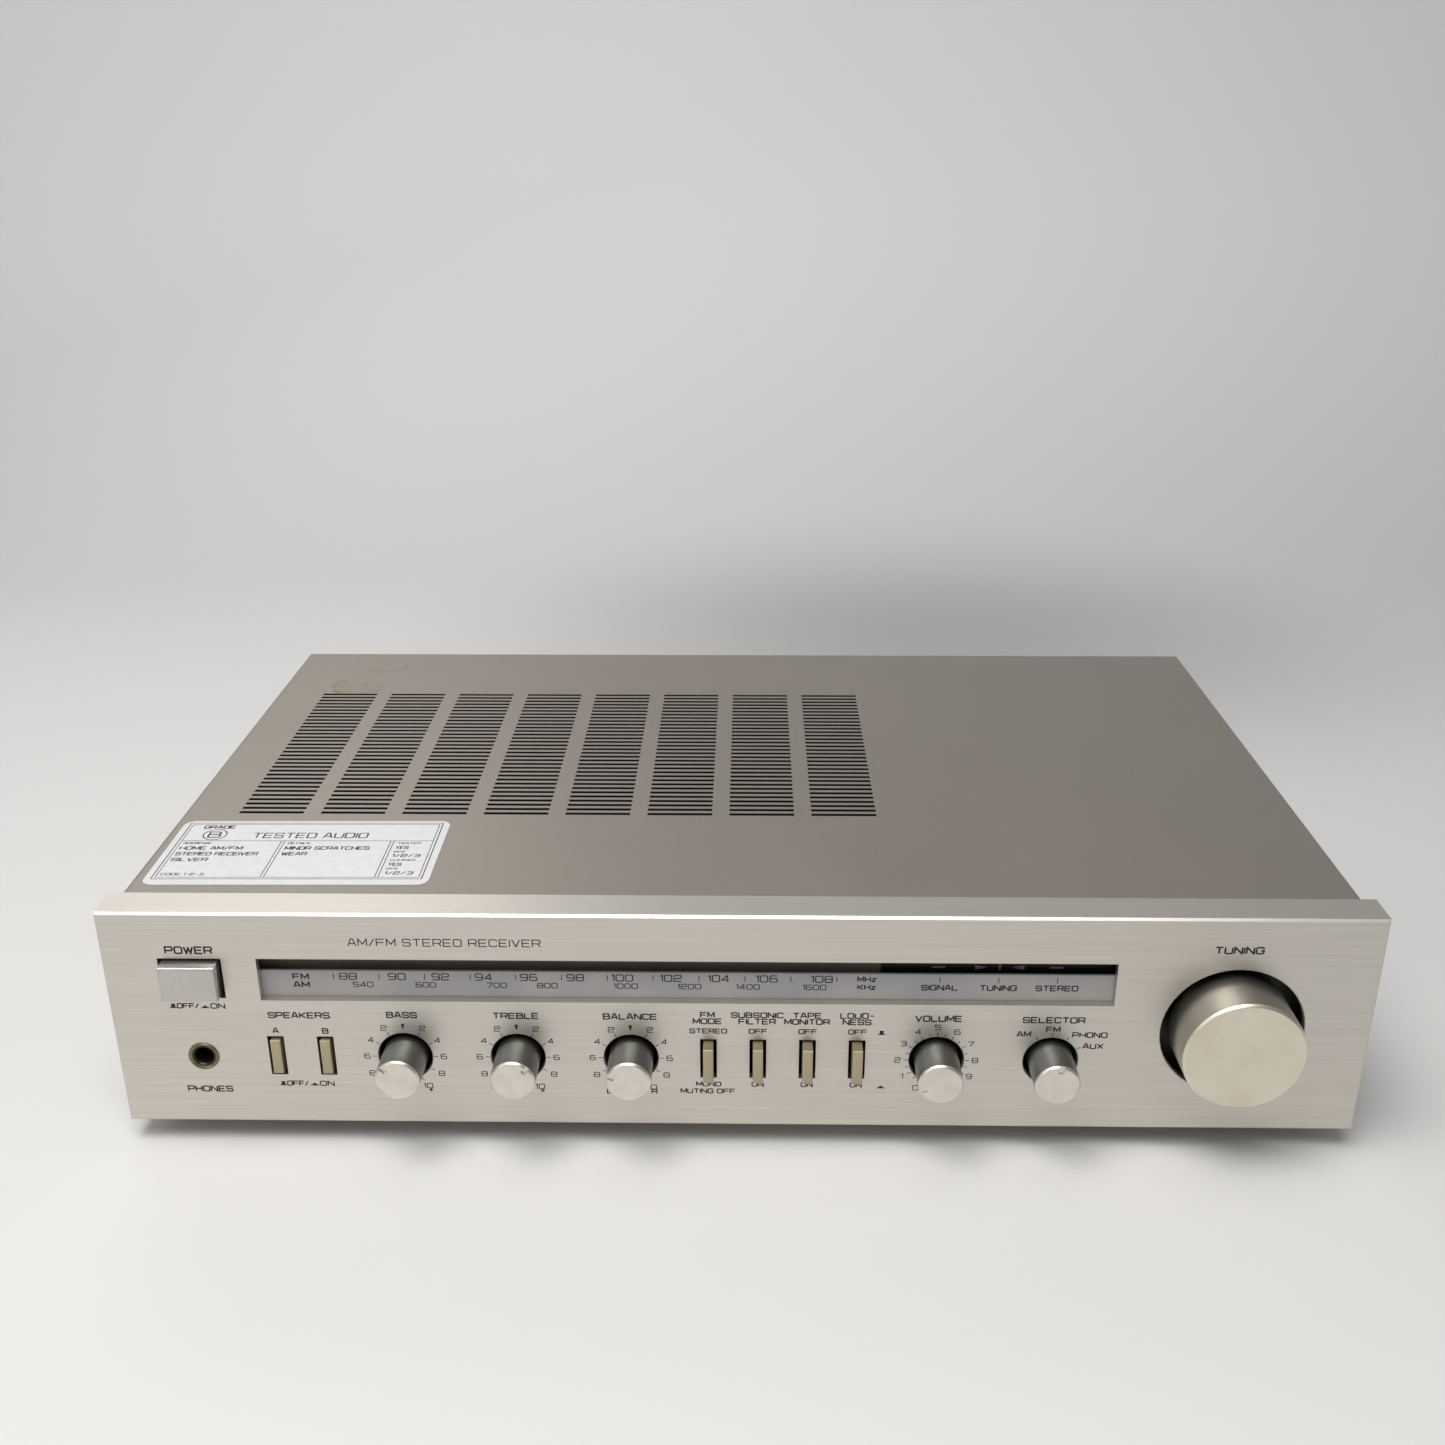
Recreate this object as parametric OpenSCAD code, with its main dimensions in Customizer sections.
// Stereo receiver: a low sheet-metal case behind an extruded aluminium front panel, with rotary
// controls, latching push buttons, a cord-driven tuning dial and a swinging AM rod antenna.
// Millimetres. Every module is drawn with the panel's front face at y = 0 and its lower edge at
// z = 0, and placed() then stands the whole receiver on its feet, centred on the origin.

/* [Overall] */
// Width of the front panel
panel_w = 440; // [420:1:540]
// Height of the front panel
panel_h = 86; // [84:1:110]
// Depth from the panel's front face to the back edge of the cover
body_d = 258; // [240:1:330]
// Height of a foot
foot_h = 11; // [8:1:20]

/* [Front panel] */
// Thickness of the panel's front wall
panel_t = 3; // [2:0.1:4]
// Depth of the returns round the panel's edge
panel_return = 14.3; // [14:0.1:20]
// Thickness of those returns
return_t = 2.5; // [1.5:0.1:4]
// Bevel along the front edges
edge_bevel = 0.8; // [0.3:0.1:1.5]
// Bevel round the knobs' holes
hole_ease = 0.3; // [0.1:0.1:0.6]
// How far the panel stands out past each side of the cover
panel_overhang = 4.35; // [2:0.05:8]

/* [Case] */
// Thickness of the cover's sheet
cover_t = 1; // [0.8:0.1:1.6]
// Bend radius along the cover's top edges
cover_r = 2; // [1.2:0.1:4]
// Thickness of the chassis, sub panel and rear panel sheet
steel_t = 1.2; // [1:0.1:2]
// Height of the chassis floor's underside above the panel's lower edge
pan_z = 2; // [0.5:0.1:4]
// Height of the chassis side flanges
flange_h = 14; // [10:1:20]
// Gap between the chassis flanges and the cover's sides
case_gap = 0.2; // [0.1:0.05:0.5]
// Height of the lip that the cover turns down at the back
rear_lip_h = 11; // [8:1:16]

/* [Cooling slots] */
// Length of one slot
slot_l = 25; // [20:0.5:28]
// Width of one slot
slot_w = 2; // [1.5:0.1:2.6]
// Distance from one slot to the next in a column
slot_pitch = 3.9; // [3:0.1:4.4]
// Distance from one column to the next
column_pitch = 31.7; // [30:0.1:34]
// Slots in a column
slot_rows = 33; // [10:1:33]
// Columns of slots
slot_columns = 8; // [4:1:8]
// Distance from the cover's left side to the first column
slots_in = 21.7; // [10:0.1:30]
// Distance from the panel's face to the nearest slot
slots_back = 77.5; // [60:0.5:90]

/* [Rotary controls] */
// Height of the row of small knobs and push buttons
control_z = 28.6; // [24:0.1:32]
// Radius of a small knob
knob_r = 7.85; // [6:0.05:8.2]
// How far a small knob stands out of the panel
knob_out = 14.8; // [10:0.1:18]
// How far a knob reaches in behind the panel's face
knob_in = 4.5; // [3:0.1:6]
// Gap round a small knob in its hole
knob_gap = 1.7; // [0.8:0.1:2.5]
// Width of the channel cut in a small knob's face as its mark
mark_w = 1.9; // [0.8:0.1:2.4]
// Length of that channel
mark_l = 3; // [2:0.1:4]
// Depth of that channel
mark_d = 0.35; // [0.2:0.05:0.6]
// Bevel round a knob's face
knob_bevel = 0.7; // [0.3:0.1:1.2]
// Distance between neighbouring small knobs
knob_pitch = 40; // [36:0.5:44]
// Distance of the balance knob left of the panel's middle
balance_left = 37.5; // [36:0.5:40]
// Distance of the selector knob from the panel's right end
selector_in = 110; // [105:0.5:112]
// Radius of the tuning knob
tuning_r = 21.1; // [16:0.1:22]
// How far the tuning knob stands out
tuning_out = 15.8; // [12:0.1:20]
// Gap round the tuning knob
tuning_gap = 3.7; // [1:0.1:4]
// Height of the tuning knob's axis
tuning_z = 41.3; // [38:0.1:44]
// Distance of the tuning knob from the panel's right end
tuning_in = 48; // [46:0.5:50]
// Radius of every control shaft
shaft_r = 3; // [2.5:0.1:3.2]
// Running clearance of a shaft in its bush
shaft_fit = 0.05; // [0.02:0.01:0.1]
// Outer radius of a control's threaded bush
bush_r = 4.6; // [4.2:0.1:5]

/* [Push buttons] */
// Width of a small button's face
button_w = 3.6; // [3:0.1:4.4]
// Height of a small button's face
button_h = 13.8; // [11:0.1:15]
// Gap round a small button in its slot
button_gap = 1.15; // [0.4:0.05:1.3]
// How far a button stands out when it is released
button_out = 5.2; // [4.5:0.1:7]
// Travel of a latching button from out to in
button_travel = 4; // [3:0.1:4]
// Distance between neighbouring mode buttons
mode_pitch = 17.4; // [16:0.1:19]
// Distance of the first mode button left of the panel's middle
mode_left = 10.2; // [8:0.1:12]
// Distance of the speaker A button from the panel's left end
speaker_in = 57; // [54:0.5:60]
// Distance between the two speaker buttons
speaker_pitch = 17.6; // [16:0.1:19]
// Width of the power button
power_w = 19.7; // [16:0.1:22]
// Height of the power button
power_h = 13.5; // [11:0.1:15]
// Gap round the power button
power_gap = 1.2; // [0.6:0.1:1.5]
// How far the power button stands out when it is off
power_out = 4.6; // [4.2:0.1:7]
// Distance of the power button's middle from the panel's left end
power_in = 30.6; // [28:0.1:33]
// Height of the middle of the power button
power_z = 60.2; // [58:0.1:62]

/* [Headphone socket] */
// Radius of the headphone socket's bore, for a quarter-inch plug
phones_bore_r = 3.25; // [3.2:0.01:3.3]
// Outer radius of its threaded ferrule
ferrule_r = 5.4; // [4.8:0.1:6]
// Height of the headphone socket's axis
phones_z = 28.1; // [26:0.1:31]

/* [Dial] */
// Width of the dial window
window_w = 296.4; // [280:0.1:300]
// Height of the dial window
window_h = 16.8; // [14:0.1:18]
// Distance of the window's left end from the panel's left end
window_in = 53.8; // [52:0.1:56]
// Height of the window's lower edge
window_z = 51.4; // [50:0.1:53]
// Height of the top edge of the printed scale plate above the window's lower edge
scale_h = 10.2; // [8:0.1:11]
// Length of the smoked strip that the pointer shines through
smoked_w = 216; // [200:0.5:230]
// Middle of the pointer's travel, from the panel's left end
pointer_in = 167.2; // [165:0.1:170]
// Travel of the pointer to each side of the middle
pointer_travel = 88; // [70:1:90]

/* [Dial drive] */
// Radius of the cord's path round the drum
cord_on_drum_r = 15; // [13:0.5:15]
// Radius of the cord's path round an idler pulley
cord_on_pulley_r = 5; // [4:0.1:5.5]
// Thickness of the dial cord
cord_d = 0.9; // [0.6:0.1:1.2]
// Gap between the cord and what turns inside it
cord_gap = 0.3; // [0.2:0.05:0.4]
// Radius of the flywheel
flywheel_r = 20; // [14:0.5:22]
// Thickness of the flywheel
flywheel_t = 9; // [6:0.5:12]

/* [Rear sockets] */
// Outer radius of a phono socket's shell
phono_r = 4.15; // [4.1:0.01:4.2]
// Radius of the hole for a phono plug's centre pin
phono_pin_r = 1.65; // [1.6:0.01:1.8]
// How far a phono socket stands out
phono_out = 9; // [8:0.5:11]
// Distance between neighbouring phono sockets
phono_pitch = 16; // [14:0.5:20]
// Height of the lower row of phono sockets
phono_z = 22; // [18:0.5:26]
// Radius of the ground post's screw
ground_r = 2; // [1.5:0.1:2.5]
// How far the ground post's screw stands out
ground_out = 12; // [10:0.5:16]
// Radius of the mains cord's hole through its gland
gland_bore_r = 3.6; // [3:0.1:4]
// Radius of the AM rod antenna
rod_r = 5; // [4:0.1:6]
// Length of the AM rod antenna
rod_l = 140; // [110:1:160]
// Distance of the rod's axis from the rear panel when it is folded in
rod_out = 17; // [14:0.5:20]

/* [Feet] */
// Radius of a foot at the chassis
foot_r = 16; // [12:0.5:18]
// Radius of a foot on the ground
foot_base_r = 14; // [10:0.5:16]
// Distance of a foot's axis from the chassis side
foot_in = 34; // [24:1:50]

/* [Label] */
// Width of the paper label on the cover
label_w = 101.6; // [80:0.1:110]
// Depth of the paper label
label_h = 50.4; // [40:0.1:55]
// Thickness of the paper label
label_t = 0.12; // [0.1:0.01:0.2]

/* [Hidden] */
$fn = 64;

// Colours
silver = [0.74, 0.72, 0.68];
champagne = [0.49, 0.46, 0.41];
zinc = [0.62, 0.63, 0.62];
black = [0.06, 0.06, 0.06];
olive = [0.56, 0.53, 0.41];
phenolic = [0.55, 0.40, 0.20];

// Case
half_w = panel_w / 2;
cover_w = panel_w - 2 * panel_overhang;
cover_half = cover_w / 2;
pan_half = cover_half - cover_t - case_gap;
floor_z = pan_z + steel_t;
rear_face = body_d - cover_t;
rear_in = rear_face - steel_t;
cover_drop = 0.5;
cover_low = pan_z + cover_drop;
ceiling_z = panel_h - cover_t;

// Sub panel, inside the front panel's returns
sub_face = 12.5;
sub_back = sub_face + steel_t;
sub_half = half_w - return_t - 1;
sub_inset = 0.3;
rail_z = 76;
rail_depth = 8;

// Controls from left to right
power_x = -half_w + power_in;
phones_x = power_x;
speaker_x = [-half_w + speaker_in, -half_w + speaker_in + speaker_pitch];
tone_x = [-balance_left - 2 * knob_pitch, -balance_left - knob_pitch, -balance_left];
mode_x = [for (i = [0:3]) -mode_left + i * mode_pitch];
selector_x = half_w - selector_in;
volume_x = selector_x - knob_pitch;
tuning_x = half_w - tuning_in;
small_knob_x = [tone_x[0], tone_x[1], tone_x[2], volume_x, selector_x];
pot_x = [tone_x[0], tone_x[1], tone_x[2], volume_x];
small_button_x = [speaker_x[0], speaker_x[1], mode_x[0], mode_x[1], mode_x[2], mode_x[3]];
// Turn of each knob's mark clockwise from the top
bass_turn = -45;
treble_turn = 45;
balance_turn = -72;
volume_turn = -110;
selector_turn = 8;

// Bodies of the controls behind the sub panel
pot_depth = 9;
pot_r = 8.6;
switch_r = 11;
wafer_r = 12.5;
bush_out = 5;
stem_w = 3;
switch_hole = 3.8;
switch_y = [sub_back, sub_back + 24];

// Dial, from front to back
window_x = -half_w + window_in;
scale_y = panel_t + 0.3;
scale_t = 1;
scale_low = window_z - 4;
scale_top = window_z + scale_h;
dial_margin = 4.5;
mask_y = 7;
mask_t = 1.2;
strip_low = window_z + 4;
strip_top = window_z + window_h + 3;
smoked_end = window_x + smoked_w;
window_end = window_x + window_w;
dial_peg_r = 1.5;
led_in = [60.2, 45.4, 39.1, 32.8, 19.4];
led_x = [for (d = led_in) window_end - d];
led_z = 62.3;

// Dial drive, all in one plane behind the sub panel
cord_y = sub_back + 4.3;
cord_on_shaft_r = shaft_r + cord_gap + cord_d / 2;
pointer_x = -half_w + pointer_in;
drum_x = tuning_x - 82;
drum_z = 57;
pulley_z = rail_z + 2 - cord_on_pulley_r;
left_pulley_x = pointer_x - pointer_travel - 17.2;
right_pulley_x = drum_x + 28;
cord_top_z = pulley_z + cord_on_pulley_r;
cord_step = 24;
cord_lane = 1.2;
wheel_t = 4;
pin_r = 1.5;
pin_fit = 0.05;
blade_y = mask_y + mask_t + 1.1;

// Tuning capacitor behind the drum
cap_w = 46;
cap_h = 30;
cap_l = 52;
cap_y = cord_y + wheel_t / 2 + 2.5;
cap_wall = 2;
cap_axle_r = 2.5;

// Inside
board_t = 1.6;
board_z = floor_z + 8;
standoff_r = 3;
main_board_x = [-110, 84];
main_board_y = [52, 206];
tuner_board_x = [pan_half - 122.5, pan_half - 14.5];
tuner_board_y = [92, 236];
transformer_x = -pan_half + 52.5;
transformer_y = 82;
core_w = 66;
core_d = 34;
core_h = 55;
winding_out = 13;
sink_x = [-110, 40];
sink_y = rear_in - 41.8;
sink_h = 58;

// Rear
phono_left_x = pan_half - 94.45;
phono_columns = 4;
speaker_strip_x = -60;
antenna_strip_x = 40;
strip_screws = 8;
strip_pitch = 10;
gland_x = -pan_half + 34.45;
gland_z = 24;
gland_r = 7;
phono_seat = 0.02;
ground_x = phono_left_x - 22;
ground_z = 30;
pivot_x = -10;
pivot_z = 62;
pivot_r = 2;
rod_pivot_gap = 0.06;
bracket_h = 16;

// Feet
foot_x = pan_half - foot_in;
foot_y = [panel_return + 36, body_d - 34];
foot_hole_r = 2.1;
foot_recess_r = 5.5;
foot_recess = 5;

// Cover screws
side_screw_y = [48, body_d - 46];
side_screw_z = pan_z + 9;
rear_screw_x = [-pan_half + 36, 0, pan_half - 36];
rear_screw_z = panel_h - rear_lip_h / 2;
screw_r = 1.5;
screw_gap = 0.1;
screw_head_r = 3;
screw_head_t = 2;
screw_l = 6;

// The receiver's whole depth, from the tuning knob to the folded antenna
rear_out = rod_out + rod_r - cover_t;
total_d = tuning_out + body_d + rear_out;

module placed()
    translate([0, tuning_out - total_d / 2, foot_h - pan_z]) children();

// A box from its low and high limits on each axis
module slab(x, y, z)
    translate([x[0], y[0], z[0]]) cube([x[1] - x[0], y[1] - y[0], z[1] - z[0]]);

// A round bar along Y between two depths
module bar_y(x, z, y, r, r2 = undef)
    translate([x, y[0], z]) rotate([-90, 0, 0])
        cylinder(r1 = r, r2 = is_undef(r2) ? r : r2, h = y[1] - y[0]);

// A round bar along X between two places
module bar_x(x, y, z, r)
    translate([x[0], y, z]) rotate([0, 90, 0]) cylinder(r = r, h = x[1] - x[0]);

// A box with its middle at x and z, between two depths
module block_y(x, z, w, h, y)
    slab([x - w / 2, x + w / 2], y, [z - h / 2, z + h / 2]);

// A flat rectangle with round corners
module round_rect(w, h, r) {
    translate([0, r]) square([w, h - 2 * r]);
    translate([r, 0]) square([w - 2 * r, h]);
    for (x = [r, w - r], y = [r, h - r])
        translate([x, y]) circle(r = r);
}

// A recessed cross in a screw's head, drawn along Z
module cross_recess(size, depth)
    for (a = [0, 90])
        rotate([0, 0, a]) translate([-size / 2, -size / 10, -depth]) cube([size, size / 5, 2 * depth]);

// A pan-head screw along Z, its head's underside at z = 0
module screw(r, l, head_r, head_t) {
    translate([0, 0, -l]) cylinder(r = r, h = l + 0.01);
    difference() {
        union() {
            cylinder(r = head_r, h = head_t * 0.6);
            translate([0, 0, head_t * 0.6]) cylinder(r1 = head_r, r2 = head_r * 0.7, h = head_t * 0.4);
        }
        translate([0, 0, head_t]) cross_recess(head_r * 1.1, head_t * 0.5);
    }
}

/* Case */

module chassis_pan() {
    back = rear_in;
    color(zinc) difference() {
        union() {
            slab([-pan_half, pan_half], [panel_return, back], [pan_z, floor_z]);
            for (s = [-1, 1])
                slab([s * pan_half - (s > 0 ? steel_t : 0), s * pan_half + (s > 0 ? 0 : steel_t)],
                    [panel_return, back], [pan_z, pan_z + flange_h]);
            for (x = main_board_x, y = main_board_y)
                translate([x + sign(-x) * 8, y + sign(120 - y) * 8, floor_z - 0.01])
                    cylinder(r = standoff_r, h = board_z - floor_z + 0.01);
            for (x = tuner_board_x, y = tuner_board_y)
                translate([x + sign(140 - x) * 8, y + sign(160 - y) * 8, floor_z - 0.01])
                    cylinder(r = standoff_r, h = board_z - floor_z + 0.01);
        }
        for (x = [-foot_x, foot_x], y = foot_y)
            translate([x, y, pan_z - 1]) cylinder(r = foot_hole_r, h = 4);
        for (s = [-1, 1], y = side_screw_y)
            bar_x([s * pan_half - 3, s * pan_half + 3], y, side_screw_z, screw_r + screw_gap);
        for (i = [0:11])
            slab([-72, -42], [66 + i * 9, 70 + i * 9], [pan_z - 1, floor_z + 1]);
        for (i = [0:11])
            slab([-28, 2], [66 + i * 9, 70 + i * 9], [pan_z - 1, floor_z + 1]);
    }
}

module top_cover() {
    color(champagne) difference() {
        union() {
            translate([-cover_half, body_d, 0]) rotate([90, 0, 0])
                linear_extrude(body_d - panel_return) difference() {
                    translate([0, cover_low]) union() {
                        square([cover_w, panel_h - cover_low - cover_r]);
                        translate([0, panel_h - cover_low - 6]) round_rect(cover_w, 6, cover_r);
                    }
                    translate([cover_t, cover_low - 1]) union() {
                        square([cover_w - 2 * cover_t, ceiling_z - cover_low - 1]);
                        translate([0, ceiling_z - cover_low - 4])
                            round_rect(cover_w - 2 * cover_t, 5, cover_r - cover_t + 0.01);
                    }
                }
            slab([-cover_half + cover_t, cover_half - cover_t], [rear_face, body_d],
                [panel_h - rear_lip_h, ceiling_z + 0.01]);
        }
        for (c = [0:slot_columns - 1], r = [0:slot_rows - 1])
            translate([-cover_half + slots_in + c * column_pitch, slots_back + r * slot_pitch, ceiling_z - 1])
                cube([slot_l, slot_w, cover_t + 2]);
        for (s = [-1, 1], y = side_screw_y)
            bar_x([s * cover_half - 3, s * cover_half + 3], y, side_screw_z, screw_r + screw_gap);
        for (x = rear_screw_x)
            bar_y(x, rear_screw_z, [rear_face - 1, body_d + 1], screw_r + screw_gap);
    }
}

// A round hole through the panel's front wall, its front edge eased
module eased_hole(x, z, r) {
    bar_y(x, z, [-1, panel_t + 1], r);
    bar_y(x, z, [-hole_ease, hole_ease], r + 2 * hole_ease, r);
}

module front_panel() {
    b = edge_bevel;
    color(silver) difference() {
        intersection() {
            translate([-half_w, 0, 0]) rotate([90, 0, 90]) linear_extrude(panel_w)
                polygon([[b, 0], [panel_return, 0], [panel_return, panel_h], [b, panel_h],
                    [0, panel_h - b], [0, b]]);
            linear_extrude(panel_h)
                polygon([[-half_w + b, 0], [half_w - b, 0], [half_w, b], [half_w, panel_return],
                    [-half_w, panel_return], [-half_w, b]]);
        }
        slab([-half_w + return_t, half_w - return_t], [panel_t, panel_return + 1],
            [return_t, panel_h - return_t]);
        slab([window_x, window_end], [-1, panel_t + 1], [window_z, window_z + window_h]);
        for (x = small_knob_x)
            eased_hole(x, control_z, knob_r + knob_gap);
        eased_hole(tuning_x, tuning_z, tuning_r + tuning_gap);
        for (x = small_button_x)
            block_y(x, control_z, button_w + 2 * button_gap, button_h + 2 * button_gap, [-1, panel_t + 1]);
        block_y(power_x, power_z, power_w + 2 * power_gap, power_h + 2 * power_gap, [-1, panel_t + 1]);
        bar_y(phones_x, phones_z, [-1, panel_t + 1], ferrule_r + 0.1);
    }
}

module sub_panel() {
    stem_gap = 1;
    color(black) difference() {
        union() {
            slab([-sub_half, sub_half], [sub_face, sub_back], [floor_z, rail_z]);
            slab([-pan_half + steel_t + 1, pan_half - steel_t - 1], [sub_face, sub_back + 14],
                [floor_z, floor_z + steel_t]);
            slab([pointer_x - pointer_travel - 8, pointer_x + pointer_travel + 8],
                [sub_face, sub_back + rail_depth], [rail_z - steel_t, rail_z]);
            for (x = [left_pulley_x, right_pulley_x])
                bar_y(x, pulley_z, [sub_face, cord_y + wheel_t / 2 + 2], pin_r);
            bar_y(tuning_x, tuning_z, [sub_face - 6, sub_back], bush_r);
        }
        bar_y(tuning_x, tuning_z, [sub_face - 7, sub_back + 1], shaft_r + shaft_fit);
        for (x = small_knob_x)
            bar_y(x, control_z, [sub_face - 1, sub_back + 1], bush_r + 0.1);
        for (x = small_button_x)
            block_y(x, control_z, stem_w + 2 * stem_gap, stem_w + 2 * stem_gap, [sub_face - 1, sub_back + 1]);
        block_y(power_x, power_z, stem_w + 2 * stem_gap, stem_w + 2 * stem_gap,
            [sub_face - 1, sub_back + 1]);
        bar_y(phones_x, phones_z, [sub_face - 1, sub_back + 1], ferrule_r + 0.1);
    }
}

module rear_panel() {
    color(black) difference() {
        union() {
            slab([-pan_half, pan_half], [rear_in, rear_face], [pan_z, ceiling_z - 0.3]);
            slab([-pan_half + steel_t, pan_half - steel_t], [rear_in - 12, rear_in + 0.01],
                [floor_z, floor_z + steel_t]);
        }
        for (x = rear_screw_x)
            bar_y(x, rear_screw_z, [rear_in - 1, rear_face + 1], screw_r + screw_gap);
        for (i = [0:phono_columns - 1], k = [0, 1])
            bar_y(phono_left_x + i * phono_pitch, phono_z + k * phono_pitch, [rear_in - 1, rear_face + 1],
                phono_r + 0.1);
        bar_y(gland_x, gland_z, [rear_in - 1, rear_face + 1], gland_r + 0.1);
        bar_y(ground_x, ground_z, [rear_in - 1, rear_face + 1], ground_r + 0.1);
        for (i = [0:7])
            slab([-160 + i * 12, -156 + i * 12], [rear_in - 1, rear_face + 1], [44, 66]);
    }
}

module feet()
    color(black) for (x = [-foot_x, foot_x], y = foot_y)
        translate([x, y, pan_z - foot_h]) difference() {
            cylinder(r1 = foot_base_r, r2 = foot_r, h = foot_h);
            translate([0, 0, -1]) cylinder(r = foot_recess_r, h = foot_recess + 1);
            translate([0, 0, -1]) cylinder(r = foot_hole_r, h = foot_h + 2);
        }

module foot_screws()
    color(zinc) for (x = [-foot_x, foot_x], y = foot_y)
        translate([x, y, pan_z - foot_h + foot_recess]) rotate([180, 0, 0])
            screw(foot_hole_r - screw_gap, foot_h - foot_recess + 5, foot_recess_r - 1.2, 2.6);

module cover_screws()
    color(black) {
        for (s = [-1, 1], y = side_screw_y)
            translate([s * cover_half, y, side_screw_z]) rotate([0, s * 90, 0])
                screw(screw_r, screw_l, screw_head_r, screw_head_t);
        for (x = rear_screw_x)
            translate([x, body_d, rear_screw_z]) rotate([-90, 0, 0])
                screw(screw_r, screw_l, screw_head_r, screw_head_t);
    }

/* Dial */

module dial_scale_plate()
    color([0.5, 0.5, 0.5]) {
        slab([window_x - dial_margin, window_end + dial_margin], [scale_y, scale_y + scale_t],
            [scale_low, scale_top]);
        for (x = [window_x + 8, window_x + window_w / 3, window_x + 2 * window_w / 3, window_end - 4])
            bar_y(x, scale_low + 2, [scale_y, sub_face], dial_peg_r);
    }

module smoked_strip()
    color([0.16, 0.14, 0.12]) {
        slab([window_x - dial_margin, smoked_end], [mask_y, mask_y + mask_t], [strip_low, strip_top]);
        for (x = [window_x - 2, smoked_end - 3])
            bar_y(x, strip_top - 3, [mask_y, sub_face], dial_peg_r);
    }

// One indicator's outline through the mask: bars at both ends, a tick between two arrowheads
module led_window(i, depth) {
    w = 4.6;
    bar_h = 0.9;
    tick_h = 2.4;
    arrow = [[-w / 2, -1], [w / 2, 0], [-w / 2, 1]];
    if (i == 0 || i == 4)
        block_y(led_x[i], led_z, w, bar_h, depth);
    else if (i == 2)
        block_y(led_x[i], led_z, bar_h, tick_h, depth);
    else
        translate([led_x[i], depth[0], led_z]) rotate([-90, 0, 0]) linear_extrude(depth[1] - depth[0])
            mirror([i == 3 ? 1 : 0, 0]) polygon(arrow);
}

module indicator_mask()
    color(black) difference() {
        union() {
            slab([smoked_end, window_end + dial_margin], [mask_y, mask_y + mask_t], [strip_low, strip_top]);
            for (x = [smoked_end + 4, window_end + 2])
                bar_y(x, strip_top - 3, [mask_y, sub_face], dial_peg_r);
        }
        for (i = [0:4])
            led_window(i, [mask_y - 1, mask_y + mask_t + 1]);
    }

module indicator_leds()
    color([0.55, 0.53, 0.5]) for (i = [0:4]) {
        led_window(i, [mask_y + 0.2, mask_y + mask_t]);
        block_y(led_x[i], led_z, 5, 3, [mask_y + mask_t, sub_face]);
    }

// Points of the cord round a wheel, clockwise from one angle to another, with 0 at the top. It
// drifts along Y from one place in the groove to the next, so that its turns don't cross.
function wrap(x, z, r, from, to, drift = [0, 0]) =
    let (n = max(2, ceil(abs(to - from) / cord_step)))
    [for (i = [0:n])
        let (a = from + (to - from) * i / n)
        [x + r * sin(a), cord_y + drift[0] + (drift[1] - drift[0]) * i / n, z + r * cos(a)]];

// Direction of the line between two wheel centres, clockwise from the top
function heading(x1, z1, x2, z2) = atan2(x2 - x1, z2 - z1);

// Where the cord leaves one wheel for the next: both turn clockwise, the line touches both
function leaving(x1, z1, r1, x2, z2, r2) =
    heading(x1, z1, x2, z2) - 90 + asin((r1 - r2) / norm([x2 - x1, z2 - z1]));

// The cord's whole loop: right pulley, tuning shaft, once round the drum, left pulley
function cord_path() =
    let (
        r1 = cord_on_pulley_r, r2 = cord_on_shaft_r, r3 = cord_on_drum_r,
        to_shaft = leaving(right_pulley_x, pulley_z, r1, tuning_x, tuning_z, r2),
        to_drum = leaving(tuning_x, tuning_z, r2, drum_x, drum_z, r3) + 360,
        to_left = leaving(drum_x, drum_z, r3, left_pulley_x, pulley_z, r1) + 360,
        to_right = 360
    )
    concat(
        wrap(right_pulley_x, pulley_z, r1, 0, to_shaft),
        wrap(tuning_x, tuning_z, r2, to_shaft, to_drum),
        wrap(drum_x, drum_z, r3, to_drum, to_left + 360, [-cord_lane / 2, cord_lane / 2]),
        wrap(left_pulley_x, pulley_z, r1, to_left, to_right)
    );

module dial_cord() {
    path = cord_path();
    n = len(path);
    sides = 8;
    points = [for (i = [0:n - 1])
        let (d = path[(i + 1) % n] - path[(i + n - 1) % n], out = [-d[2], 0, d[0]] / norm([d[0], d[2]]))
        for (k = [0:sides - 1])
            path[i] + cord_d / 2 * (cos(k * 360 / sides) * out + sin(k * 360 / sides) * [0, 1, 0])];
    faces = [for (i = [0:n - 1], k = [0:sides - 1])
        let (j = (i + 1) % n, m = (k + 1) % sides)
        [i * sides + k, i * sides + m, j * sides + m, j * sides + k]];
    color([0.8, 0.78, 0.7]) polyhedron(points, faces);
}

// A grooved wheel on an axis along Y, its groove's middle at y = 0
module grooved_wheel(path_r, t, bore_r, lane = 0) {
    floor_r = path_r - cord_d / 2 - cord_gap;
    rim_r = path_r + cord_d / 2 + 0.6;
    groove_t = cord_d + lane + 2 * cord_gap;
    rotate([-90, 0, 0]) difference() {
        translate([0, 0, -t / 2]) cylinder(r = rim_r, h = t);
        difference() {
            translate([0, 0, -groove_t / 2]) cylinder(r = rim_r + 1, h = groove_t);
            translate([0, 0, -groove_t]) cylinder(r = floor_r, h = 2 * groove_t);
        }
        translate([0, 0, -t]) cylinder(r = bore_r, h = 2 * t);
    }
}

module left_pulley()
    color("ivory") translate([left_pulley_x, cord_y, pulley_z])
        grooved_wheel(cord_on_pulley_r, wheel_t, pin_r + pin_fit);

module right_pulley()
    color("ivory") translate([right_pulley_x, cord_y, pulley_z])
        grooved_wheel(cord_on_pulley_r, wheel_t, pin_r + pin_fit);

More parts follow.
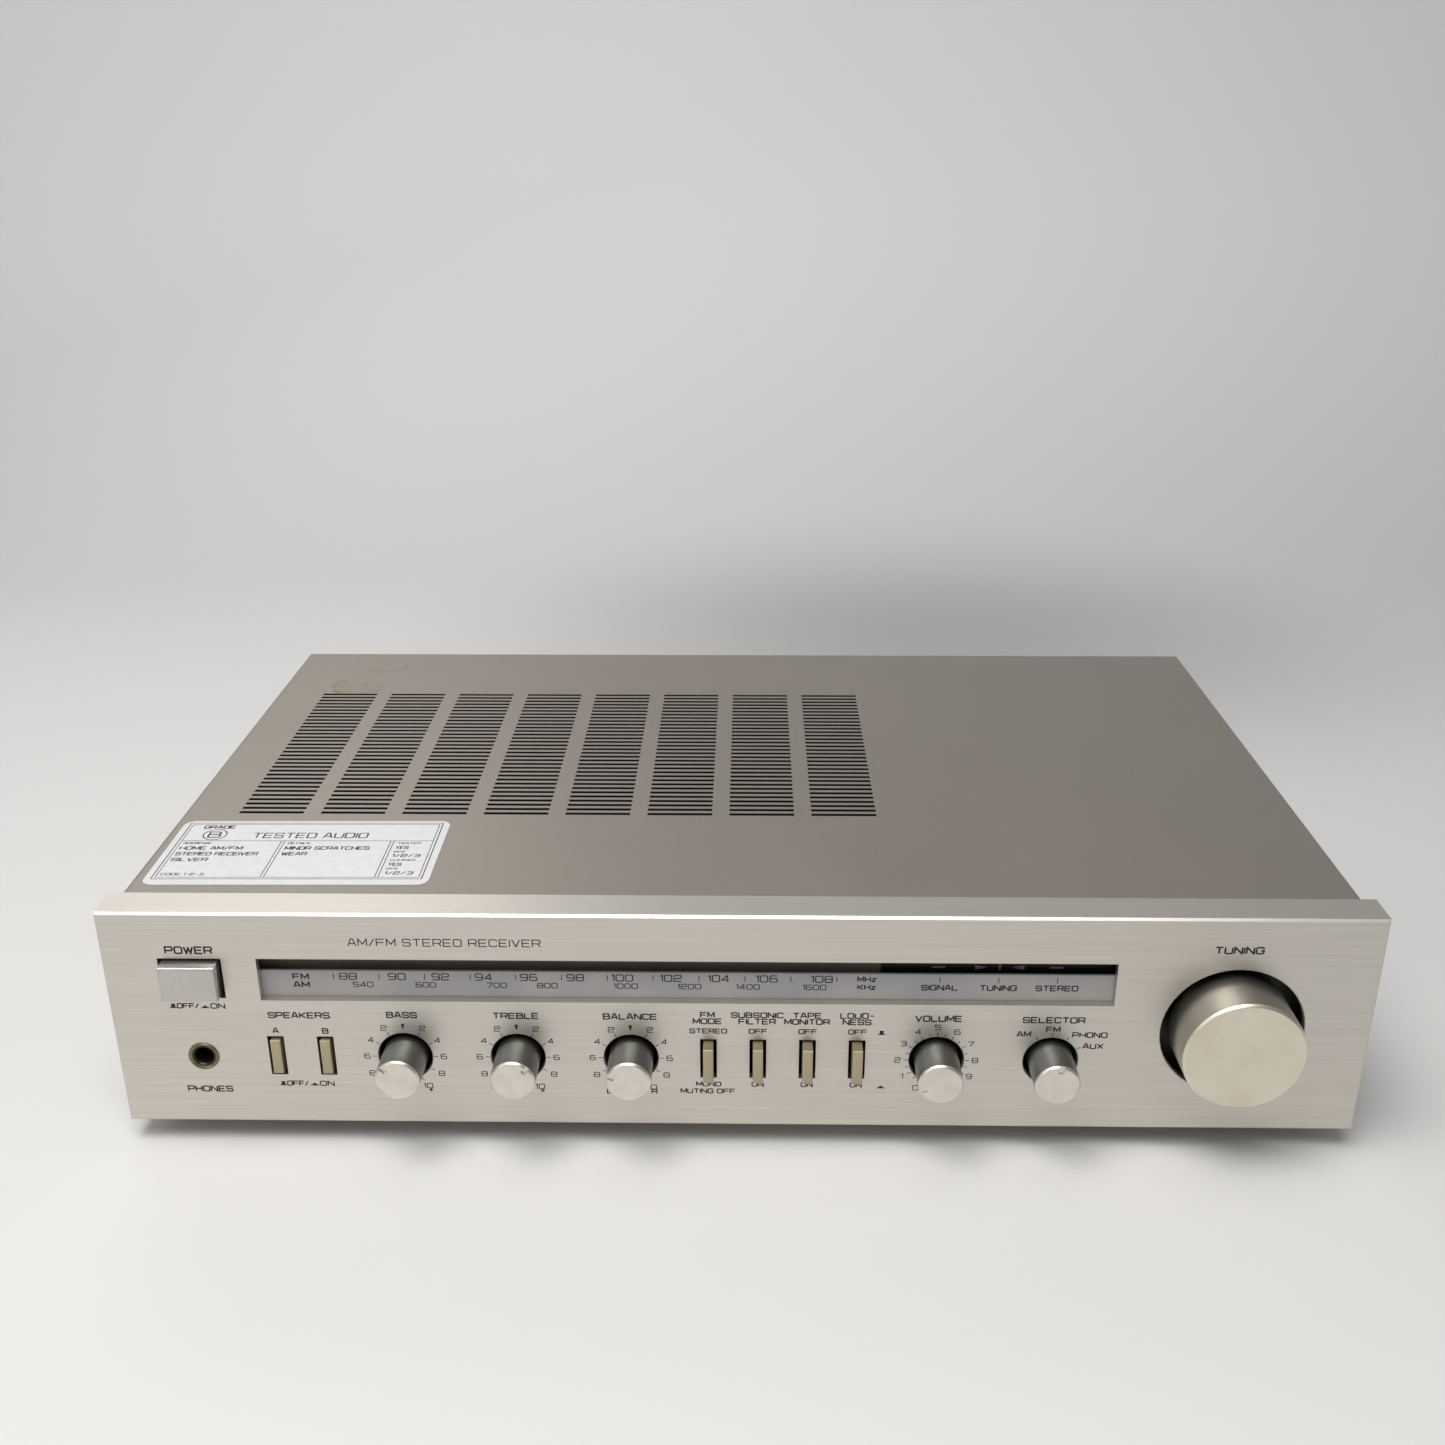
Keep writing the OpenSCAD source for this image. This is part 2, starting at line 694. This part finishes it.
module cord_drum()
    color("ivory") translate([drum_x, cord_y, drum_z]) {
        difference() {
            grooved_wheel(cord_on_drum_r, wheel_t, cap_axle_r, cord_lane);
            for (a = [0:90:270])
                rotate([0, a, 0]) translate([8.5, 0, 0]) rotate([-90, 0, 0])
                    translate([0, 0, -wheel_t]) cylinder(r = 2.5, h = 2 * wheel_t);
        }
        rotate([-90, 0, 0]) translate([0, 0, -wheel_t / 2]) cylinder(r = cap_axle_r, h = cap_y - cord_y + 3);
    }

module dial_pointer() {
    x = pointer_x;
    gap = 0.4;
    saddle_w = 10;
    color([0.85, 0.15, 0.1]) difference() {
        union() {
            slab([x - saddle_w / 2, x + saddle_w / 2], [blade_y, sub_back + rail_depth + 2],
                [rail_z + gap, rail_z + 4]);
            slab([x - saddle_w / 2, x + saddle_w / 2], [sub_back + rail_depth + gap, sub_back + rail_depth + 2],
                [rail_z - 3, rail_z + 4]);
            slab([x - 0.6, x + 0.6], [blade_y, blade_y + 0.8], [strip_low, rail_z + 4]);
        }
        slab([x - saddle_w, x + saddle_w], [cord_y - cord_d, cord_y + cord_d],
            [cord_top_z - cord_d, rail_z + 5]);
    }
}

/* Electronics */

module pcb(x, y)
    slab(x, y, [board_z, board_z + board_t]);

module main_board()
    color(phenolic) pcb(main_board_x, main_board_y);

module tuner_board()
    color(phenolic) pcb(tuner_board_x, tuner_board_y);

module board_components() {
    top = board_z + board_t;
    color([0.15, 0.2, 0.45]) for (i = [0:6], j = [0:3])
        translate([main_board_x[0] + 18 + i * 26, main_board_y[0] + 16 + j * 24, top])
            cylinder(r = 3 + (i + j) % 3, h = 10 + 2 * ((i + 2 * j) % 4));
    color([0.75, 0.75, 0.72]) for (i = [0:2], j = [0:3])
        translate([tuner_board_x[0] + 14 + i * 32, tuner_board_y[0] + 46 + j * 24, top]) cube([10, 10, 13]);
    color(black) for (i = [0:2], j = [0:3])
        translate([tuner_board_x[0] + 30 + i * 28, tuner_board_y[0] + 48 + j * 24, top]) cube([8, 18, 4]);
}

module transformer_core() {
    z0 = floor_z;
    color([0.3, 0.3, 0.32]) {
        difference() {
            translate([transformer_x - core_w / 2, transformer_y - core_d / 2, z0]) cube([core_w, core_d, core_h]);
            for (s = [-1, 1])
                translate([transformer_x + s * core_w / 4 - core_w / 12, transformer_y - core_d, z0 + core_h / 6])
                    cube([core_w / 6, 2 * core_d, core_h * 2 / 3]);
        }
        for (s = [-1, 1])
            translate([transformer_x + s * (core_w / 2 + 6) - 8, transformer_y - 8, z0]) difference() {
                cube([16, 16, 2]);
                translate([8 + s * 3, 8, -1]) cylinder(r = 2.2, h = 4);
            }
    }
}

module transformer_windings() {
    c = 0.2;
    w = core_w / 3;
    color([0.75, 0.68, 0.45]) difference() {
        translate([transformer_x - w + c, transformer_y - core_d / 2 - winding_out, floor_z + core_h / 6 + c])
            cube([2 * w - 2 * c, core_d + 2 * winding_out, core_h * 2 / 3 - 2 * c]);
        translate([transformer_x - w / 2 - c, transformer_y - core_d / 2 - c, floor_z])
            cube([w + 2 * c, core_d + 2 * c, core_h]);
    }
}

module filter_capacitors()
    color([0.12, 0.16, 0.35]) for (i = [0, 1])
        translate([main_board_x[0] + 20 + i * 36, main_board_y[1] - 24, board_z + board_t])
            difference() {
                cylinder(r = 14, h = 42);
                translate([0, 0, 41]) cylinder(r = 11, h = 2);
            }

module heat_sink() {
    fins = 13;
    pitch = (sink_x[1] - sink_x[0] - 2) / (fins - 1);
    color([0.1, 0.1, 0.1]) {
        slab(sink_x, [sink_y, sink_y + 3], [floor_z, floor_z + sink_h]);
        for (i = [0:fins - 1])
            translate([sink_x[0] + i * pitch, sink_y + 2.9, floor_z]) cube([2, 22, sink_h]);
    }
}

module output_transistors()
    color(black) for (i = [0:3])
        translate([sink_x[0] + 18 + i * 36, sink_y - 5, floor_z + 26]) {
            cube([16, 5, 20]);
            for (k = [0:2])
                translate([3 + k * 5 - 0.4, 2, -14]) cube([0.8, 0.8, 14.5]);
        }

module tuning_capacitor() {
    x = drum_x;
    axle = cap_axle_r + pin_fit;
    color([0.7, 0.7, 0.68]) difference() {
        union() {
            for (y = [cap_y, cap_y + cap_l - cap_wall])
                block_y(x, drum_z, cap_w, cap_h, [y, y + cap_wall]);
            block_y(x, drum_z - cap_h / 2 + cap_wall / 2, cap_w, cap_wall, [cap_y, cap_y + cap_l]);
            for (i = [0:5])
                block_y(x - cap_w / 4 - 3, drum_z, cap_w / 2 - 8, cap_h - 4, [cap_y + 9 + i * 6, cap_y + 10 + i * 6]);
            slab([x - cap_w / 2, x - cap_w / 2 + cap_wall], [cap_y, cap_y + cap_l],
                [drum_z - cap_h / 2, drum_z + cap_h / 2]);
        }
        bar_y(x, drum_z, [cap_y - 1, cap_y + cap_wall + 1], axle);
        bar_y(x, drum_z, [cap_y + cap_l - cap_wall - 1, cap_y + cap_l + 1], axle);
    }
    // Posts that hold the capacitor up from the chassis floor
    color(zinc) for (y = [cap_y + 6, cap_y + 22])
        slab([x - cap_w / 2 + 2, x - cap_w / 2 + 10], [y, y + 4], [floor_z + steel_t, drum_z - cap_h / 2]);
}

module capacitor_rotor() {
    x = drum_x;
    start = cap_y + 5;
    color("gold") {
        bar_y(x, drum_z, [start, cap_y + cap_l + 2], cap_axle_r);
        for (i = [0:4])
            translate([x, cap_y + 12 + i * 6, drum_z]) rotate([-90, 0, 0]) linear_extrude(0.8)
                intersection() {
                    circle(r = cap_h / 2 - 2.5);
                    translate([-cap_h, -2 * cap_h]) square(2 * cap_h);
                }
    }
}

/* Controls */

// A round knob with its mark turned clockwise from the top
module knob(x, z, r, out, turn, hub_r) {
    wall = min(2.4, r / 4);
    face = 3;
    back = knob_in;
    color(silver) difference() {
        union() {
            difference() {
                union() {
                    bar_y(x, z, [-out + knob_bevel, back], r);
                    bar_y(x, z, [-out, -out + knob_bevel], r - knob_bevel, r);
                }
                bar_y(x, z, [-out + face, back + 1], r - wall);
            }
            bar_y(x, z, [-out + face - 0.5, back - 0.5], hub_r);
        }
        bar_y(x, z, [-out + face, back + 1], shaft_r);
        if (!is_undef(turn))
            translate([x, 0, z]) rotate([0, turn, 0])
                slab([-mark_w / 2, mark_w / 2], [-out - 1, -out + mark_d], [r - mark_l, r + 1]);
    }
}

// A control's shaft, from inside its knob to inside its body
module shaft(x, z, out, back)
    color(zinc) bar_y(x, z, [-out + 3, back], shaft_r);

module bass_knob() knob(tone_x[0], control_z, knob_r, knob_out, bass_turn, bush_r);
module treble_knob() knob(tone_x[1], control_z, knob_r, knob_out, treble_turn, bush_r);
module balance_knob() knob(tone_x[2], control_z, knob_r, knob_out, balance_turn, bush_r);
module volume_knob() knob(volume_x, control_z, knob_r, knob_out, volume_turn, bush_r);
module selector_knob() knob(selector_x, control_z, knob_r, knob_out, selector_turn, bush_r);
module tuning_knob() knob(tuning_x, tuning_z, tuning_r, tuning_out, undef, 6);

module bass_shaft() shaft(tone_x[0], control_z, knob_out, sub_back + pot_depth - 1.5);
module treble_shaft() shaft(tone_x[1], control_z, knob_out, sub_back + pot_depth - 1.5);
module balance_shaft() shaft(tone_x[2], control_z, knob_out, sub_back + pot_depth - 1.5);
module volume_shaft() shaft(volume_x, control_z, knob_out, sub_back + pot_depth - 1.5);
module selector_shaft() shaft(selector_x, control_z, knob_out, sub_back + 18);
module tuning_shaft() shaft(tuning_x, tuning_z, tuning_out, cord_y + wheel_t / 2 + 4 + flywheel_t);

module flywheel() {
    y0 = cord_y + wheel_t / 2 + 3;
    color("darkgoldenrod") difference() {
        bar_y(tuning_x, tuning_z, [y0, y0 + flywheel_t], flywheel_r);
        bar_y(tuning_x, tuning_z, [y0 - 1, y0 + flywheel_t + 1], shaft_r);
        difference() {
            bar_y(tuning_x, tuning_z, [y0 + flywheel_t - 3, y0 + flywheel_t + 1], flywheel_r - 4);
            bar_y(tuning_x, tuning_z, [y0, y0 + flywheel_t + 2], shaft_r + 4);
        }
    }
}

// A nut on a control's bush, in front of the sub panel
module bush_nut(x, z)
    difference() {
        translate([x, sub_face - 2, z]) rotate([-90, 0, 0]) cylinder(r = bush_r + 2.2, h = 2, $fn = 6);
        bar_y(x, z, [sub_face - 3, sub_face + 1], bush_r);
    }

// A control's body behind the sub panel, with its bush through it
module control_body(x, r, depth) {
    difference() {
        union() {
            bar_y(x, control_z, [sub_back, sub_back + depth], r);
            bar_y(x, control_z, [sub_face - bush_out, sub_back + 1], bush_r);
        }
        bar_y(x, control_z, [sub_face - bush_out - 1, sub_back + depth - 1], shaft_r + shaft_fit);
    }
}

module pot_bodies()
    for (x = pot_x) {
        color(zinc) control_body(x, pot_r, pot_depth);
        color("tan") slab([x - 7, x + 7], [sub_back + 1, sub_back + 3], [control_z - pot_r - 9, control_z - 5]);
        color("gold") bush_nut(x, control_z);
    }

module selector_switch() {
    color(zinc) control_body(selector_x, switch_r, 20);
    color("tan") for (i = [1, 2])
        difference() {
            bar_y(selector_x, control_z, [sub_back + 20 + i * 8, sub_back + 22 + i * 8], wafer_r);
            bar_y(selector_x, control_z, [sub_back + 19 + i * 8, sub_back + 23 + i * 8], 3);
        }
    color(zinc) for (s = [-1, 1])
        bar_y(selector_x + s * (switch_r - 3), control_z, [sub_back + 19, sub_back + 40], 1.5);
    color("gold") bush_nut(selector_x, control_z);
}

// A rectangular switch body with a square hole for the button's stem
module switch_body(x, z, w, h)
    difference() {
        block_y(x, z, w, h, switch_y);
        block_y(x, z, switch_hole, switch_hole, [switch_y[0] - 1, switch_y[1] - 2]);
    }

module push_switches()
    color([0.2, 0.2, 0.22]) {
        for (x = small_button_x)
            switch_body(x, control_z, 10, 12);
        switch_body(power_x, power_z, 18, 15);
    }

// A button: a face with eased edges, a skirt behind it and a stem into the switch
module button(x, z, w, h, out) {
    ease = 0.4;
    stem_end = sub_back + 16;
    cap = 9;
    translate([x, -out, z]) {
        intersection() {
            translate([-w / 2, 0, 0]) rotate([90, 0, 90]) linear_extrude(w)
                polygon([[0, -h / 2 + ease], [ease, -h / 2], [cap, -h / 2], [cap, h / 2], [ease, h / 2],
                    [0, h / 2 - ease]]);
            translate([0, 0, -h / 2]) linear_extrude(h)
                polygon([[-w / 2 + ease, 0], [w / 2 - ease, 0], [w / 2, ease], [w / 2, cap], [-w / 2, cap],
                    [-w / 2, ease]]);
        }
        block_y(0, 0, stem_w, stem_w, [cap - 0.5, stem_end + out - button_travel]);
    }
}

module speaker_a_button()
    color(olive) button(speaker_x[0], control_z, button_w, button_h, button_out - button_travel);
module speaker_b_button()
    color(olive) button(speaker_x[1], control_z, button_w, button_h, button_out - button_travel);
module fm_mode_button()
    color(olive) button(mode_x[0], control_z, button_w, button_h, button_out);
module subsonic_button()
    color(olive) button(mode_x[1], control_z, button_w, button_h, button_out);
module tape_monitor_button()
    color(olive) button(mode_x[2], control_z, button_w, button_h, button_out);
module loudness_button()
    color(olive) button(mode_x[3], control_z, button_w, button_h, button_out);
module power_button()
    color(silver) button(power_x, power_z, power_w, power_h, power_out);

/* Sockets */

module jack_ferrule()
    color([0.45, 0.42, 0.3]) difference() {
        union() {
            bar_y(phones_x, phones_z, [-0.6, 0], ferrule_r - 0.5, ferrule_r);
            bar_y(phones_x, phones_z, [0, panel_t], ferrule_r);
        }
        bar_y(phones_x, phones_z, [-1, panel_t + 1], phones_bore_r);
    }

module phones_jack()
    color([0.2, 0.2, 0.2]) difference() {
        union() {
            bar_y(phones_x, phones_z, [panel_t, sub_back], ferrule_r - 0.4);
            block_y(phones_x, phones_z, 15, 15, [sub_back, sub_back + 26]);
        }
        bar_y(phones_x, phones_z, [panel_t - 1, sub_back + 24], phones_bore_r);
    }

module phono_jacks() {
    w = (phono_columns - 1) * phono_pitch + 14;
    mid_x = phono_left_x + (phono_columns - 1) * phono_pitch / 2;
    color([0.1, 0.1, 0.1])
        block_y(mid_x, phono_z + phono_pitch / 2, w, phono_pitch + 14, [rear_in - 7, rear_in]);
    for (i = [0:phono_columns - 1], k = [0, 1]) {
        x = phono_left_x + i * phono_pitch;
        z = phono_z + k * phono_pitch;
        color(zinc) difference() {
            bar_y(x, z, [rear_in + phono_seat, rear_face + phono_out], phono_r);
            bar_y(x, z, [rear_in + 3, rear_face + phono_out + 1], phono_pin_r);
        }
    }
}

module ground_post()
    color(zinc) {
        bar_y(ground_x, ground_z, [rear_in - 4, rear_face + ground_out], ground_r);
        bar_y(ground_x, ground_z, [rear_face, rear_face + 3], 5);
        translate([ground_x, rear_face + 4, ground_z]) rotate([-90, 0, 0]) cylinder(r = 4.5, h = 3, $fn = 12);
    }

// A strip of screw terminals, its middle at x
module terminal_strip(x, z, count, pitch, h) {
    w = count * pitch + 6;
    color(black) {
        block_y(x, z, w, h, [rear_face, rear_face + 4]);
        for (i = [0:count])
            block_y(x + (i - count / 2) * pitch, z, 1.5, h, [rear_face + 3.9, rear_face + 7]);
    }
    color(zinc) for (i = [0:count - 1])
        translate([x + (i - (count - 1) / 2) * pitch, rear_face + 4, z]) rotate([-90, 0, 0])
            difference() {
                cylinder(r = 3.2, h = 2.4);
                translate([0, 0, 2.4]) cross_recess(4, 1);
            }
}

module speaker_terminals()
    terminal_strip(speaker_strip_x, phono_z + 4, strip_screws, strip_pitch, 16);

module antenna_terminals()
    terminal_strip(antenna_strip_x, phono_z + 4, 5, strip_pitch, 16);

module mains_gland()
    color(black) difference() {
        union() {
            bar_y(gland_x, gland_z, [rear_in - 5, rear_face + 1], gland_r);
            bar_y(gland_x, gland_z, [rear_face, rear_face + 3], gland_r + 2.5);
            bar_y(gland_x, gland_z, [rear_face + 3, rear_face + 12], gland_r, gland_r - 1.6);
        }
        bar_y(gland_x, gland_z, [rear_in - 6, rear_face + 13], gland_bore_r);
    }

module antenna_bracket() {
    x = pivot_x;
    y = rear_face + rod_out;
    color(black) difference() {
        union() {
            slab([x - 7, x + 7], [rear_face, rear_face + 3], [pivot_z - bracket_h, pivot_z + bracket_h / 2]);
            slab([x - 5, x + 5], [rear_face + 2.9, y + 5], [pivot_z - bracket_h / 2 - 4, pivot_z - bracket_h / 2]);
            translate([x, y, pivot_z - bracket_h / 2 - 0.01]) cylinder(r = pivot_r, h = bracket_h / 2 + 4);
        }
    }
}

module antenna_rod() {
    x = pivot_x;
    y = rear_face + rod_out;
    low = pivot_z - bracket_h / 2 + 0.3;
    color([0.12, 0.12, 0.12]) difference() {
        union() {
            bar_x([x - rod_l, x + 3], y, pivot_z, rod_r);
            translate([x, y, low]) cylinder(r = rod_r, h = pivot_z - low + rod_r - 1);
        }
        translate([x, y, low - 1]) cylinder(r = pivot_r + rod_pivot_gap, h = 60);
    }
}

module paper_label()
    color("white") translate([-cover_half + 4.5, 19.8, panel_h]) rotate([0, 0, 0.6])
        linear_extrude(label_t) round_rect(label_w, label_h, 4);

placed() chassis_pan();
placed() top_cover();
placed() front_panel();
placed() sub_panel();
placed() rear_panel();
placed() feet();
placed() foot_screws();
placed() cover_screws();
placed() dial_scale_plate();
placed() smoked_strip();
placed() indicator_mask();
placed() indicator_leds();
placed() dial_cord();
placed() main_board();
placed() tuner_board();
placed() board_components();
placed() transformer_core();
placed() transformer_windings();
placed() filter_capacitors();
placed() heat_sink();
placed() output_transistors();
placed() tuning_capacitor();
placed() selector_switch();
placed() pot_bodies();
placed() push_switches();
placed() phones_jack();
placed() jack_ferrule();
placed() phono_jacks();
placed() ground_post();
placed() antenna_terminals();
placed() speaker_terminals();
placed() mains_gland();
placed() paper_label();
placed() antenna_bracket();
placed() power_button();
placed() speaker_a_button();
placed() speaker_b_button();
placed() fm_mode_button();
placed() subsonic_button();
placed() tape_monitor_button();
placed() loudness_button();
placed() bass_knob();
placed() treble_knob();
placed() balance_knob();
placed() volume_knob();
placed() selector_knob();
placed() tuning_knob();
placed() bass_shaft();
placed() treble_shaft();
placed() balance_shaft();
placed() volume_shaft();
placed() selector_shaft();
placed() tuning_shaft();
placed() flywheel();
placed() dial_pointer();
placed() cord_drum();
placed() capacitor_rotor();
placed() left_pulley();
placed() right_pulley();
placed() antenna_rod();
